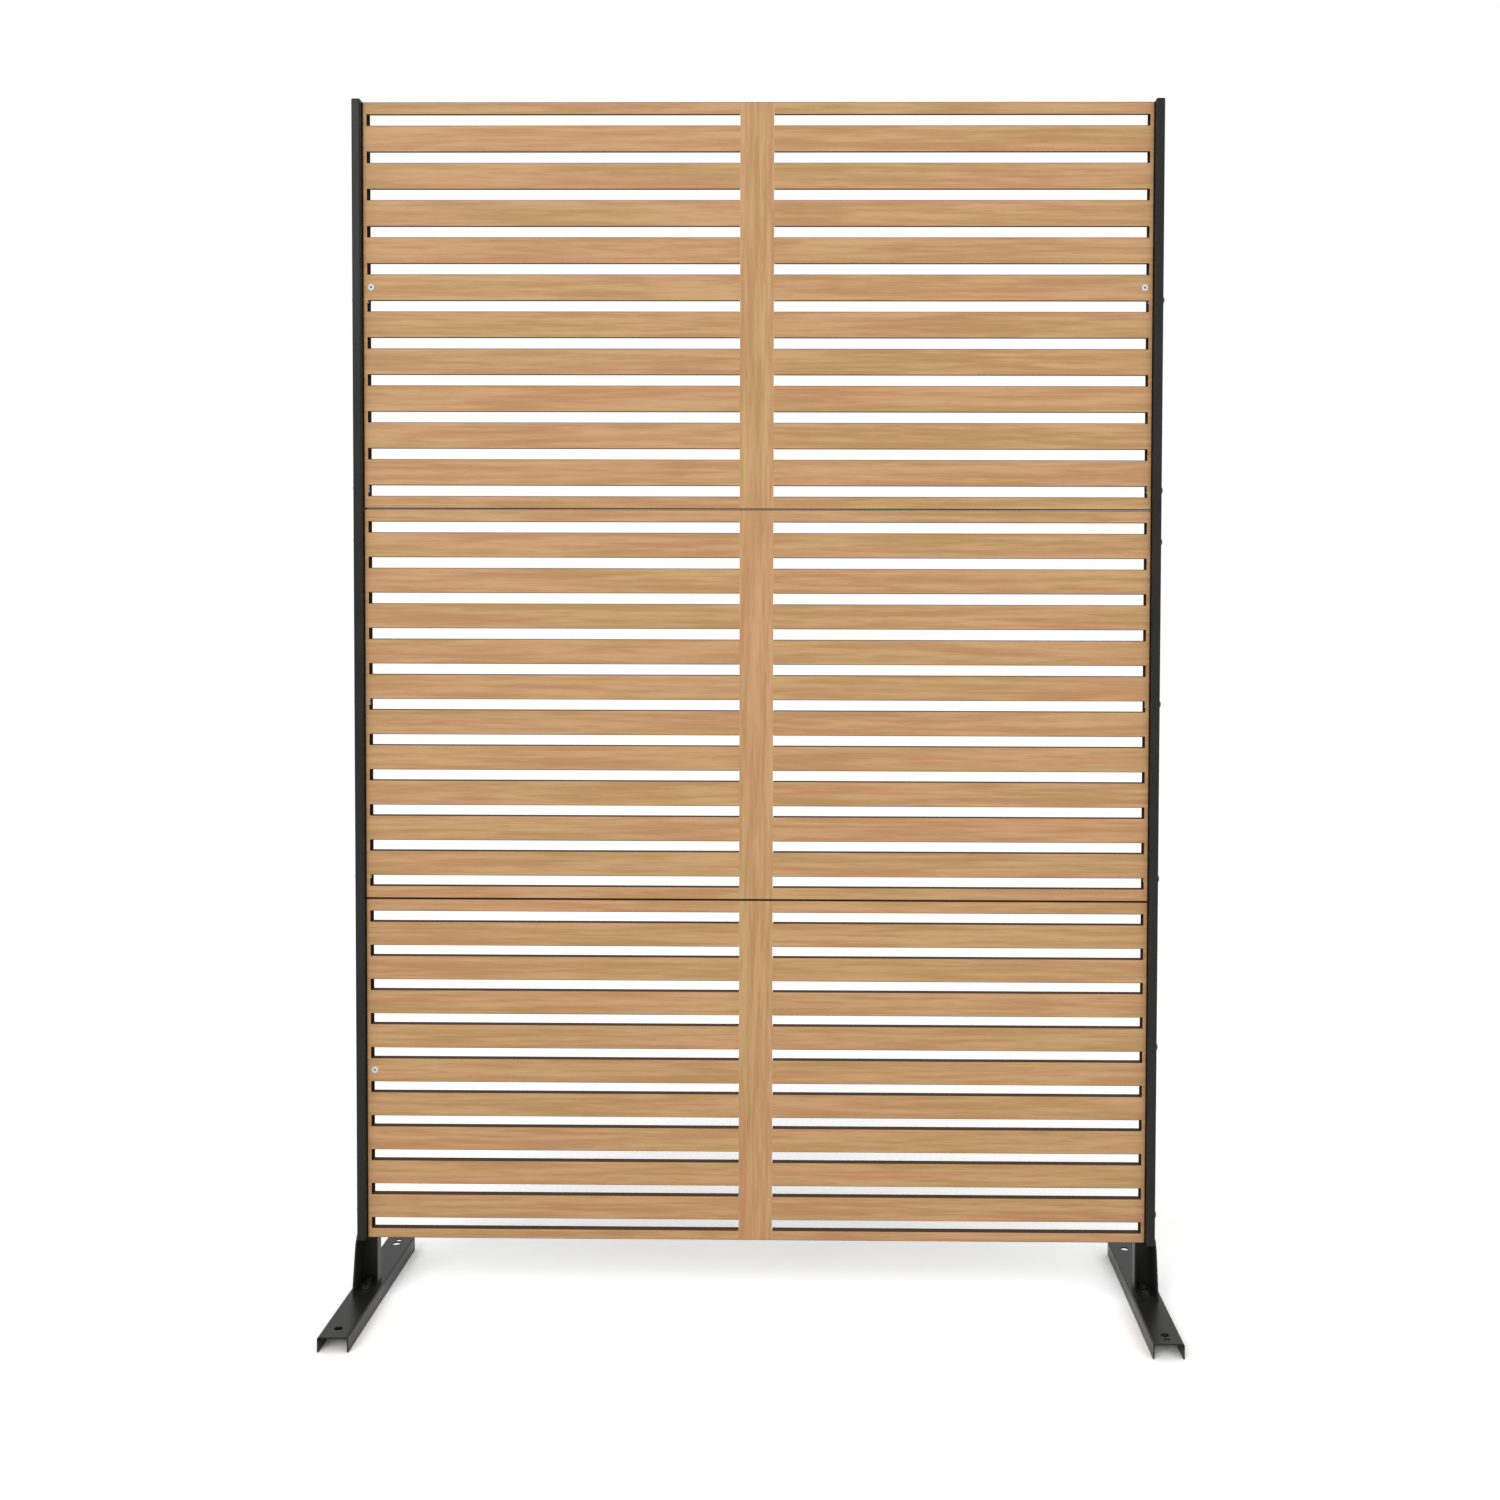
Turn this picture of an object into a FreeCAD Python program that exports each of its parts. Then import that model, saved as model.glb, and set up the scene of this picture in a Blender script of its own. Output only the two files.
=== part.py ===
import FreeCAD, Part
import os
import re
from collections import namedtuple

import Sketcher

# Garden privacy screen, in millimetres.
# X runs along the width, the front faces -Y, and Z is up. The origin is on the ground,
# midway between the feet. Three folded sheet-steel trays with lipped slots stand one above
# the other between two rectangular posts. A folded bracket carries each post and is bolted
# to a channel-shaped foot.

SIZES = {
    # feet: inverted channels that lie across the screen
    "foot_length": 350.0,
    "foot_width": 45.0,
    "foot_height": 22.0,
    "foot_sheet": 2.0,
    "foot_bend": 3.0,
    "anchor_hole": 12.0,
    "anchor_spacing": 296.0,
    "peg_hole": 9.0,
    "peg_hole_inset": 13.5,
    # posts: rectangular tubes on edge, a little in front of the middle of the feet
    "overall_width": 1219.0,
    "post_width": 13.0,
    "post_depth": 30.0,
    "post_wall": 1.5,
    "post_corner": 2.0,
    "post_forward": 20.0,
    "cap_plate": 2.0,
    "cap_chamfer": 1.0,
    "cap_insert": 18.0,
    "cap_wall": 1.6,
    "cap_clearance": 0.1,
    # brackets: web behind the post, two cheeks and a base tab
    "bracket_height": 75.0,
    "bracket_width": 31.0,
    "bracket_sheet": 2.5,
    "bracket_bend": 3.0,
    "base_reach": 16.0,
    "cheek_rise": 6.0,
    "cheek_chamfer_run": 8.0,
    "cheek_chamfer_drop": 12.0,
    "inner_cheek_depth": 20.5,
    "tongue_height": 55.0,
    "tongue_corner": 4.0,
    # panels: folded trays
    "panel_recess": 11.0,
    "panel_clearance": 0.3,
    "panel_joint": 1.0,
    "panel_depth": 14.0,
    "panel_sheet": 1.0,
    "panel_bend": 2.0,
    "panel_hem": 8.0,
    "top_panel_height": 611.0,
    "middle_panel_height": 593.0,
    "bottom_panel_height": 524.0,
    "top_slot_rows": 11,
    "middle_slot_rows": 11,
    "bottom_slot_rows": 10,
    "panel_rail": 19.0,
    "lowest_rail": 15.5,
    "side_strip": 6.5,
    "mullion_width": 51.0,
    "slot_height": 16.0,
    "lower_lip": 12.0,
    "upper_lip": 4.0,
    "lip_relief": 0.5,
    # side screws: heights above each panel's lower edge
    "top_screw_low": 30.0,
    "top_screw_high": 316.0,
    "middle_screw_low": 34.0,
    "middle_screw_mid": 300.0,
    "middle_screw_high": 546.0,
    "bottom_screw_low": 42.0,
    "bottom_screw_high": 301.0,
    "side_screw_hole": 6.5,
    "side_screw_shank": 6.0,
    "side_screw_head": 12.0,
    "side_screw_head_height": 4.6,
    "side_screw_crown": 7.5,
    "side_screw_end": 0.5,
    "side_nut_flats": 10.0,
    "side_nut_height": 5.0,
    # screws from the tongue into the back wall of the post
    "tongue_screw_low": 12.0,
    "tongue_screw_spacing": 15.0,
    "tongue_screw_length": 12.0,
    # bolts between bracket and foot
    "bolt_hole": 6.6,
    "bolt_shank": 6.0,
    "bolt_head_flats": 10.0,
    "bolt_head_height": 4.0,
    "bolt_end": 1.5,
    "bolt_inset": 14.0,
    "bolt_spacing": 22.0,
    "washer_outside": 12.5,
    "washer_thickness": 1.6,
    "bolt_nut_height": 5.0,
    # white push-in rivets in the ends of two slats
    "rivet_collar": 10.6,
    "rivet_collar_height": 1.6,
    "rivet_crown": 8.4,
    "rivet_shank": 5.0,
    "rivet_length": 7.0,
    "rivet_pin": 3.0,
    "rivet_inset": 12.5,
    "top_rivet_slat": 6,
    "bottom_rivet_slat": 5,
}

# Places that several pieces share, as expressions of the sizes above.
POST_OUTSIDE = "(overall_width / 2)"
POST_INSIDE = "(overall_width / 2 - post_width)"
POST_FRONT = "(0 - post_forward)"
POST_BACK = "(post_depth - post_forward)"
BRACKET_OUTSIDE = "(overall_width / 2 + bracket_sheet)"
BRACKET_INSIDE = "(overall_width / 2 + bracket_sheet - bracket_width)"
BRACKET_BACK = "(post_depth - post_forward + bracket_sheet)"
BRACKET_FRONT = "(0 - post_forward - base_reach)"
FOOT_MIDDLE = "(overall_width / 2 + bracket_sheet - bracket_width / 2)"
BASE_TOP = "(foot_height + bracket_sheet)"
BOTTOM_EDGE = "(foot_height + bracket_height)"
MIDDLE_EDGE = f"({BOTTOM_EDGE} + bottom_panel_height + panel_joint)"
TOP_EDGE = f"({MIDDLE_EDGE} + middle_panel_height + panel_joint)"
POST_TOP = f"({TOP_EDGE} + top_panel_height)"
PANEL_HALF = "(overall_width / 2 - post_width - panel_clearance)"
PANEL_FRONT = "(panel_recess - post_forward)"
PANEL_BACK = "(panel_recess - post_forward + panel_depth)"
SCREW_DEPTH = "(panel_recess - post_forward + panel_depth / 2)"
SLOT_OUTSIDE = f"({PANEL_HALF} - side_strip)"
SLOT_INSIDE = "(mullion_width / 2)"

# Each panel: its lower edge, height, rail below its lowest slots, rows of slots, and the
# heights of its side screws.
Panel = namedtuple("Panel", "base height rail rows screws")
PANELS = {
    "top": Panel(TOP_EDGE, "top_panel_height", "panel_rail", "top_slot_rows",
                 ["top_screw_low", "top_screw_high"]),
    "middle": Panel(MIDDLE_EDGE, "middle_panel_height", "panel_rail", "middle_slot_rows",
                    ["middle_screw_low", "middle_screw_mid", "middle_screw_high"]),
    "bottom": Panel(BOTTOM_EDGE, "bottom_panel_height", "lowest_rail", "bottom_slot_rows",
                    ["bottom_screw_low", "bottom_screw_high"]),
}
# The ends of a slat that have a rivet. The middle panel has none.
RIVETS = {"top": ["left", "right"], "bottom": ["left"]}
SIDES = {"left": -1, "right": 1}

doc = FreeCAD.newDocument("PrivacyScreen")
sheet = doc.addObject("Spreadsheet::Sheet", "Sizes")
pieces = []


def fill_sheet():
    """Write each driving size into its own cell, under its own alias."""
    for row, (alias, value) in enumerate(SIZES.items(), start=1):
        sheet.set(f"A{row}", alias)
        sheet.set(f"B{row}", str(value))
        sheet.setAlias(f"B{row}", alias)
    doc.recompute()


def size(text):
    """Turn a plain expression of sizes into one that names the sheet's cells."""
    return re.sub(r"[a-z][a-z_]+", lambda word: "Sizes." + word.group(), text)


def number(text):
    """The present value of an expression of sizes."""
    return float(sheet.evalExpression(size(text)))


def point(across, up):
    return FreeCAD.Vector(number(across), number(up), 0)


def keep(piece, label):
    """Name a finished piece after its node and list it for export."""
    piece.Label = label
    pieces.append(piece)
    return piece


# ---- sketches -------------------------------------------------------------------------

def new_body(name):
    body = doc.addObject("PartDesign::Body", name)
    body.AllowCompound = True
    return body


def new_sketch(body, plane, offset=None):
    """A sketch on one of the body's own origin planes, moved along its normal."""
    sketch = body.newObject("Sketcher::SketchObject", body.Name + "_sketch")
    support = next(item for item in body.Origin.OriginFeatures if item.Role == plane)
    sketch.AttachmentSupport = [(support, "")]
    sketch.MapMode = "FlatFace"
    if offset:
        sketch.setExpression("AttachmentOffset.Base.z", size(offset))
    return sketch


def dimension(sketch, kind, geometry, vertex, text):
    """Hold a vertex at a distance from the sketch's origin."""
    index = sketch.addConstraint(
        Sketcher.Constraint(kind, -1, 1, geometry, vertex, number(text)))
    sketch.setExpression(f"Constraints[{index}]", size(text))


def measure(sketch, kind, geometry, text):
    """Give a circle or an arc its radius or diameter."""
    index = sketch.addConstraint(Sketcher.Constraint(kind, geometry, number(text)))
    sketch.setExpression(f"Constraints[{index}]", size(text))


def outline(sketch, corners):
    """A closed outline through corners, each a pair of expressions.

    Where two neighbours share an expression, the edge between them is held level or
    upright instead of being dimensioned twice."""
    first = sketch.GeometryCount
    count = len(corners)
    for index, corner in enumerate(corners):
        following = corners[(index + 1) % count]
        sketch.addGeometry(Part.LineSegment(point(*corner), point(*following)))
    for index in range(count):
        sketch.addConstraint(Sketcher.Constraint(
            "Coincident", first + index, 2, first + (index + 1) % count, 1))
    for index, (across, up) in enumerate(corners):
        edge_before = first + (index - 1) % count
        if across == corners[index - 1][0]:
            sketch.addConstraint(Sketcher.Constraint("Vertical", edge_before))
        else:
            dimension(sketch, "DistanceX", first + index, 1, across)
        if up == corners[index - 1][1]:
            sketch.addConstraint(Sketcher.Constraint("Horizontal", edge_before))
        else:
            dimension(sketch, "DistanceY", first + index, 1, up)


def box_outline(sketch, low_across, low_up, high_across, high_up):
    outline(sketch, [(low_across, low_up), (high_across, low_up),
                     (high_across, high_up), (low_across, high_up)])


def circle(sketch, across, up, diameter):
    geometry = sketch.addGeometry(Part.Circle(
        point(across, up), FreeCAD.Vector(0, 0, 1), number(diameter) / 2))
    dimension(sketch, "DistanceX", geometry, 3, across)
    dimension(sketch, "DistanceY", geometry, 3, up)
    measure(sketch, "Diameter", geometry, diameter)


def lip_outline(sketch, edge, depth, turn):
    """Section of the sheet that folds back from the panel's face along a slot's edge.

    edge is the height of the lip's outer side. turn is +1 where the sheet below the slot
    folds back, and -1 where the sheet above it does. The fold's outer corner is flattened
    by the thickness of the sheet."""
    inner_edge = f"({edge} - {turn} * panel_sheet)"
    end = f"({PANEL_FRONT} + {depth})"
    outline(sketch, [(PANEL_FRONT, inner_edge), (f"({PANEL_FRONT} + panel_sheet)", edge),
                     (end, edge), (end, inner_edge)])


# ---- features -------------------------------------------------------------------------

def pad(body, sketch, length, reverse=False):
    feature = body.newObject("PartDesign::Pad", body.Name + "_pad")
    feature.Profile = sketch
    feature.Reversed = reverse
    feature.setExpression("Length", size(length))
    doc.recompute()
    return feature


def pocket(body, sketch, length, reverse=False):
    """Cut a sketch into the body, and stop if the cut missed the material."""
    before = body.Shape.Volume
    feature = body.newObject("PartDesign::Pocket", body.Name + "_pocket")
    feature.Profile = sketch
    feature.Reversed = reverse
    feature.setExpression("Length", size(length))
    doc.recompute()
    if body.Shape.Volume > before - 1e-3:
        raise ValueError(feature.Name + " cuts nothing")
    return feature


def revolve(body, sketch):
    """Turn a half section about the sketch's upright axis."""
    feature = body.newObject("PartDesign::Revolution", body.Name + "_turned")
    feature.Profile = sketch
    feature.ReferenceAxis = (sketch, ["V_Axis"])
    feature.Angle = 360
    doc.recompute()
    return feature


def fillet(body, feature, radius, chosen):
    """Round the edges of a feature that the test chooses."""
    names = [f"Edge{index}" for index, edge in enumerate(feature.Shape.Edges, start=1)
             if chosen(edge)]
    rounding = body.newObject("PartDesign::Fillet", body.Name + "_fillet")
    rounding.Base = (feature, names)
    rounding.setExpression("Radius", size(radius))
    doc.recompute()
    return rounding


def lies_at(edge, **places):
    """True where every vertex of an edge has the given coordinates."""
    return all(abs(getattr(vertex, axis.upper()) - number(text)) < 1e-4
               for vertex in edge.Vertexes for axis, text in places.items())


def upright(edge):
    """True for an edge that runs along Z."""
    start, end = edge.Vertexes[0].Point, edge.Vertexes[-1].Point
    return (end - start).cross(FreeCAD.Vector(0, 0, 1)).Length < 1e-6


def mirrored(source, label):
    """The same piece for the other side of the screen."""
    image = doc.addObject("Part::Mirroring", label)
    image.Source = source
    image.Normal = FreeCAD.Vector(1, 0, 0)
    return keep(image, label)


def placed(master, name, axis, places):
    """Link to a fastener that was modelled on the Z axis, turned and put in its place."""
    link = doc.addObject("App::Link", name)
    link.LinkedObject = master
    turn = FreeCAD.Rotation(FreeCAD.Vector(0, 0, 1), FreeCAD.Vector(*axis))
    link.Placement = FreeCAD.Placement(FreeCAD.Vector(), turn)
    for letter, text in zip("xyz", places):
        link.setExpression("Placement.Base." + letter, size(text))
    return link


def group(master, label, axis, spots):
    """Equal fasteners as one node of separate solids."""
    links = [placed(master, f"{label}_{index}", axis, spot)
             for index, spot in enumerate(spots, start=1)]
    compound = doc.addObject("Part::Compound", label)
    compound.Links = links
    return keep(compound, label)


# ---- panels ---------------------------------------------------------------------------

def slot_pitch(panel):
    return (f"(({panel.height} - {panel.rail} - panel_rail - slot_height)"
            f" / ({panel.rows} - 1))")


def slat_middle(panel, slat):
    """Height of the middle of a slat, counted from the lowest."""
    pitch = slot_pitch(panel)
    return (f"({panel.base} + {panel.rail} + {slat} * {pitch}"
            f" - ({pitch} - slot_height) / 2)")


def make_panel(name):
    """A tray folded from one sheet: a face with lipped slots, a flange all round and a
    hem turned in at the back."""
    base, height, rail, rows, screws = PANELS[name]
    body = new_body("panel_" + name)
    high = f"({base} + {height})"
    block_sketch = new_sketch(body, "XZ_Plane", f"0 - {PANEL_BACK}")
    box_outline(block_sketch, f"0 - {PANEL_HALF}", base, PANEL_HALF, high)
    block = pad(body, block_sketch, "panel_depth")
    fillet(body, block, "panel_bend",
           lambda edge: lies_at(edge, y=PANEL_FRONT) or lies_at(edge, y=PANEL_BACK))
    inner_half = f"({PANEL_HALF} - panel_sheet)"
    inner_back = f"({PANEL_BACK} - panel_sheet)"
    inner_front = f"({PANEL_FRONT} + panel_sheet)"
    hollow_sketch = new_sketch(body, "XZ_Plane", f"0 - {inner_back}")
    box_outline(hollow_sketch, f"0 - {inner_half}", f"{base} + panel_sheet",
                inner_half, f"{high} - panel_sheet")
    hollow = pocket(body, hollow_sketch, "panel_depth - 2 * panel_sheet", reverse=True)
    fillet(body, hollow, "panel_bend - panel_sheet",
           lambda edge: lies_at(edge, y=inner_front) or lies_at(edge, y=inner_back))
    hem_half = f"({PANEL_HALF} - panel_hem)"
    hem_sketch = new_sketch(body, "XZ_Plane", f"0 - {PANEL_BACK}")
    box_outline(hem_sketch, f"0 - {hem_half}", f"{base} + panel_hem",
                hem_half, f"{high} - panel_hem")
    pocket(body, hem_sketch, "panel_sheet", reverse=True)

    # one row of slots, with its lips, repeated up the panel
    slot_low = f"({base} + {rail})"
    slot_high = f"({slot_low} + slot_height)"
    cut_sketch = new_sketch(body, "XZ_Plane", f"0 - {PANEL_FRONT}")
    for low, end in [(f"0 - {SLOT_OUTSIDE}", f"0 - {SLOT_INSIDE}"),
                     (SLOT_INSIDE, SLOT_OUTSIDE)]:
        box_outline(cut_sketch, low, f"{slot_low} - panel_sheet",
                    end, f"{slot_high} + panel_sheet")
    slots = pocket(body, cut_sketch, "panel_sheet")
    row = [slots]
    lip_length = f"({SLOT_OUTSIDE} - {SLOT_INSIDE} - 2 * lip_relief)"
    for start in [f"0 - {SLOT_OUTSIDE} + lip_relief", f"{SLOT_INSIDE} + lip_relief"]:
        lip_sketch = new_sketch(body, "YZ_Plane", start)
        lip_outline(lip_sketch, slot_low, "lower_lip", 1)
        lip_outline(lip_sketch, slot_high, "upper_lip", -1)
        row.append(pad(body, lip_sketch, lip_length))
    pattern = body.newObject("PartDesign::LinearPattern", body.Name + "_rows")
    pattern.Originals = row
    pattern.Direction = (cut_sketch, ["V_Axis"])
    pattern.setExpression("Occurrences", size(rows))
    pattern.setExpression("Length", size(f"({rows} - 1) * {slot_pitch(PANELS[name])}"))
    body.Tip = pattern
    doc.recompute()

    # screw holes through both side flanges
    for start in [inner_half, f"0 - {PANEL_HALF}"]:
        hole_sketch = new_sketch(body, "YZ_Plane", start)
        for screw in screws:
            circle(hole_sketch, SCREW_DEPTH, f"{base} + {screw}", "side_screw_hole")
        pocket(body, hole_sketch, "panel_sheet", reverse=True)
    if name in RIVETS:
        rivet_sketch = new_sketch(body, "XZ_Plane", f"0 - {PANEL_FRONT}")
        for across, up in rivet_places(name):
            circle(rivet_sketch, across, up, "rivet_shank")
        pocket(body, rivet_sketch, "panel_sheet")
    return keep(body, "panel_" + name)


# ---- posts and caps -------------------------------------------------------------------

def make_post():
    """Right-hand post: a drawn rectangular tube, drilled for its screws."""
    body = new_body("post_right")
    outer_sketch = new_sketch(body, "XY_Plane", BOTTOM_EDGE)
    box_outline(outer_sketch, POST_INSIDE, POST_FRONT, POST_OUTSIDE, POST_BACK)
    bar = pad(body, outer_sketch, f"{POST_TOP} - {BOTTOM_EDGE}")
    fillet(body, bar, "post_corner", upright)
    bore_sketch = new_sketch(body, "XY_Plane", BOTTOM_EDGE)
    box_outline(bore_sketch, f"{POST_INSIDE} + post_wall", f"{POST_FRONT} + post_wall",
                f"{POST_OUTSIDE} - post_wall", f"{POST_BACK} - post_wall")
    pocket(body, bore_sketch, f"{POST_TOP} - {BOTTOM_EDGE}", reverse=True)
    side_sketch = new_sketch(body, "YZ_Plane", POST_INSIDE)
    for panel in PANELS.values():
        for screw in panel.screws:
            circle(side_sketch, SCREW_DEPTH, f"{panel.base} + {screw}", "side_screw_hole")
    pocket(body, side_sketch, "post_width", reverse=True)
    back_sketch = new_sketch(body, "XZ_Plane", f"0 - {POST_BACK}")
    for across, up in tongue_screw_places():
        circle(back_sketch, across, up, "side_screw_shank")
    pocket(body, back_sketch, "post_wall", reverse=True)
    return keep(body, "post_right")


def tongue_screw_places():
    middle = "(overall_width / 2 - post_width / 2)"
    low = f"({BOTTOM_EDGE} + tongue_screw_low)"
    return [(middle, low), (middle, f"({low} + tongue_screw_spacing)")]


def make_cap():
    """Right-hand cap: a cover plate with a hollow plug that sits in the tube."""
    body = new_body("post_cap_right")
    plate_sketch = new_sketch(body, "XY_Plane", POST_TOP)
    box_outline(plate_sketch, POST_INSIDE, POST_FRONT, POST_OUTSIDE, POST_BACK)
    plate = pad(body, plate_sketch, "cap_plate")
    corners = fillet(body, plate, "post_corner", upright)
    bevel = body.newObject("PartDesign::Chamfer", "post_cap_bevel")
    bevel.Base = (corners, [f"Edge{index}" for index, edge in enumerate(
        corners.Shape.Edges, start=1) if lies_at(edge, z=f"{POST_TOP} + cap_plate")])
    bevel.setExpression("Size", size("cap_chamfer"))
    doc.recompute()
    gap = "(post_wall + cap_clearance)"
    plug_sketch = new_sketch(body, "XY_Plane", POST_TOP)
    box_outline(plug_sketch, f"{POST_INSIDE} + {gap}", f"{POST_FRONT} + {gap}",
                f"{POST_OUTSIDE} - {gap}", f"{POST_BACK} - {gap}")
    pad(body, plug_sketch, "cap_insert", reverse=True)
    inset = f"({gap} + cap_wall)"
    core_sketch = new_sketch(body, "XY_Plane", f"{POST_TOP} - cap_insert")
    box_outline(core_sketch, f"{POST_INSIDE} + {inset}", f"{POST_FRONT} + {inset}",
                f"{POST_OUTSIDE} - {inset}", f"{POST_BACK} - {inset}")
    pocket(body, core_sketch, "cap_insert", reverse=True)
    return keep(body, "post_cap_right")


# ---- brackets and feet ----------------------------------------------------------------

def make_bracket():
    """Right-hand bracket: a channel open to the front, with a base tab folded forward and
    a tongue that rises behind the post."""
    body = new_body("bracket_right")
    cheek_top = f"({BOTTOM_EDGE} + cheek_rise)"
    tongue_top = f"({BOTTOM_EDGE} + tongue_height)"
    web_sketch = new_sketch(body, "XZ_Plane", f"0 - {BRACKET_BACK}")
    outline(web_sketch, [
        (BRACKET_INSIDE, "foot_height"), (BRACKET_OUTSIDE, "foot_height"),
        (BRACKET_OUTSIDE, cheek_top), (POST_OUTSIDE, cheek_top),
        (POST_OUTSIDE, tongue_top), (POST_INSIDE, tongue_top),
        (POST_INSIDE, BOTTOM_EDGE), (BRACKET_INSIDE, BOTTOM_EDGE)])
    web = pad(body, web_sketch, "bracket_sheet")
    fillet(body, web, "tongue_corner",
           lambda edge: lies_at(edge, z=tongue_top)
           and edge.Vertexes[0].X == edge.Vertexes[-1].X)

    outer_sketch = new_sketch(body, "YZ_Plane", POST_OUTSIDE)
    outline(outer_sketch, [
        (BRACKET_FRONT, "foot_height"), (BRACKET_BACK, "foot_height"),
        (BRACKET_BACK, cheek_top), (f"{POST_FRONT} + cheek_chamfer_run", cheek_top),
        (POST_FRONT, f"{cheek_top} - cheek_chamfer_drop"), (BRACKET_FRONT, BASE_TOP)])
    pad(body, outer_sketch, "bracket_sheet")
    inner_sketch = new_sketch(body, "YZ_Plane", BRACKET_INSIDE)
    box_outline(inner_sketch, f"{BRACKET_BACK} - inner_cheek_depth", "foot_height",
                BRACKET_BACK, BOTTOM_EDGE)
    pad(body, inner_sketch, "bracket_sheet")
    base_sketch = new_sketch(body, "XY_Plane", "foot_height")
    box_outline(base_sketch, BRACKET_INSIDE, BRACKET_FRONT, BRACKET_OUTSIDE, BRACKET_BACK)
    base = pad(body, base_sketch, "bracket_sheet")
    fillet(body, base, "bracket_bend",
           lambda edge: (lies_at(edge, x=BRACKET_INSIDE, y=BRACKET_BACK)
                         or lies_at(edge, x=BRACKET_OUTSIDE, y=BRACKET_BACK)
                         or lies_at(edge, y=BRACKET_BACK, z="foot_height")))

    bolt_sketch = new_sketch(body, "XY_Plane", BASE_TOP)
    for across, along in bolt_places("right"):
        circle(bolt_sketch, across, along, "bolt_hole")
    pocket(body, bolt_sketch, "bracket_sheet")
    screw_sketch = new_sketch(body, "XZ_Plane", f"0 - {BRACKET_BACK}")
    for across, up in tongue_screw_places():
        circle(screw_sketch, across, up, "side_screw_hole")
    pocket(body, screw_sketch, "bracket_sheet", reverse=True)
    return keep(body, "bracket_right")


def bolt_places(side):
    across = f"({SIDES[side]} * {FOOT_MIDDLE})"
    front = f"({BRACKET_FRONT} + bolt_inset)"
    return [(across, front), (across, f"({front} + bolt_spacing)")]


def make_foot(side):
    """A channel laid open side down, with two ground holes, a smaller peg hole near one
    end and the holes for the bracket's bolts."""
    sign = SIDES[side]
    body = new_body("foot_" + side)
    middle = f"({sign} * {FOOT_MIDDLE})"
    low, high = f"({middle} - foot_width / 2)", f"({middle} + foot_width / 2)"
    low_wall, high_wall = f"({low} + foot_sheet)", f"({high} - foot_sheet)"
    ceiling = "(foot_height - foot_sheet)"
    section = new_sketch(body, "XZ_Plane", "0 - foot_length / 2")
    outline(section, [
        (low, "0"), (low_wall, "0"), (low_wall, ceiling), (high_wall, ceiling),
        (high_wall, "0"), (high, "0"), (high, "foot_height"), (low, "foot_height")])
    channel = pad(body, section, "foot_length")
    outer = fillet(body, channel, "foot_bend",
                   lambda edge: lies_at(edge, x=low, z="foot_height")
                   or lies_at(edge, x=high, z="foot_height"))
    fillet(body, outer, "foot_bend - foot_sheet",
           lambda edge: lies_at(edge, x=low_wall, z=ceiling)
           or lies_at(edge, x=high_wall, z=ceiling))
    holes = new_sketch(body, "XY_Plane", "foot_height")
    for end in ["anchor_spacing / 2", "0 - anchor_spacing / 2"]:
        circle(holes, middle, end, "anchor_hole")
    circle(holes, middle, f"{-sign} * (foot_length / 2 - peg_hole_inset)", "peg_hole")
    for across, along in bolt_places(side):
        circle(holes, across, along, "bolt_hole")
    pocket(body, holes, "foot_sheet")
    return keep(body, "foot_" + side)


# ---- fasteners, each modelled on the Z axis with its seat at z = 0 ---------------------

def make_pan_screw(name, length):
    """A pan-head screw: tapered head above z = 0, shank below."""
    body = new_body(name)
    section = new_sketch(body, "XZ_Plane")
    shank = "side_screw_shank / 2"
    outline(section, [
        ("0", f"0 - ({length})"), (shank, f"0 - ({length})"), (shank, "0"),
        ("side_screw_head / 2", "0"), ("side_screw_crown / 2", "side_screw_head_height"),
        ("0", "side_screw_head_height")])
    revolve(body, section)
    return body


def make_nut(name, flats, height, bore):
    """A hexagon nut that sits on z = 0."""
    hexagon = doc.addObject("Part::Prism", name + "_hexagon")
    hexagon.Polygon = 6
    hexagon.setExpression("Circumradius", size(f"{flats} / 2 / cos(30)").replace(
        "Sizes.cos", "cos"))
    hexagon.setExpression("Height", size(height))
    hole = doc.addObject("Part::Cylinder", name + "_bore")
    hole.setExpression("Radius", size(f"{bore} / 2"))
    hole.setExpression("Height", size(height))
    nut = doc.addObject("Part::Cut", name)
    nut.Base = hexagon
    nut.Tool = hole
    return nut


def make_hex_bolt(name, length):
    """A hexagon bolt: head above z = 0, shank below."""
    head = doc.addObject("Part::Prism", name + "_head")
    head.Polygon = 6
    head.setExpression("Circumradius", "Sizes.bolt_head_flats / 2 / cos(30)")
    head.setExpression("Height", "Sizes.bolt_head_height")
    shank = doc.addObject("Part::Cylinder", name + "_shank")
    shank.setExpression("Radius", "Sizes.bolt_shank / 2")
    shank.setExpression("Height", size(length))
    shank.setExpression("Placement.Base.z", size(f"0 - ({length})"))
    bolt = doc.addObject("Part::Fuse", name)
    bolt.Base = head
    bolt.Tool = shank
    return bolt


def make_washer(name):
    body = new_body(name)
    section = new_sketch(body, "XY_Plane")
    circle(section, "0", "0", "washer_outside")
    circle(section, "0", "0", "bolt_hole")
    pad(body, section, "washer_thickness")
    return body


def make_rivet_collar(name):
    """A nylon rivet's collar: a domed flange on z = 0 and a hollow shank below it."""
    body = new_body(name)
    section = new_sketch(body, "XZ_Plane")
    outline(section, [
        ("rivet_pin / 2", "0 - rivet_length"), ("rivet_shank / 2", "0 - rivet_length"),
        ("rivet_shank / 2", "0"), ("rivet_collar / 2", "0"),
        ("rivet_crown / 2", "rivet_collar_height"),
        ("rivet_pin / 2", "rivet_collar_height")])
    revolve(body, section)
    return body


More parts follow.
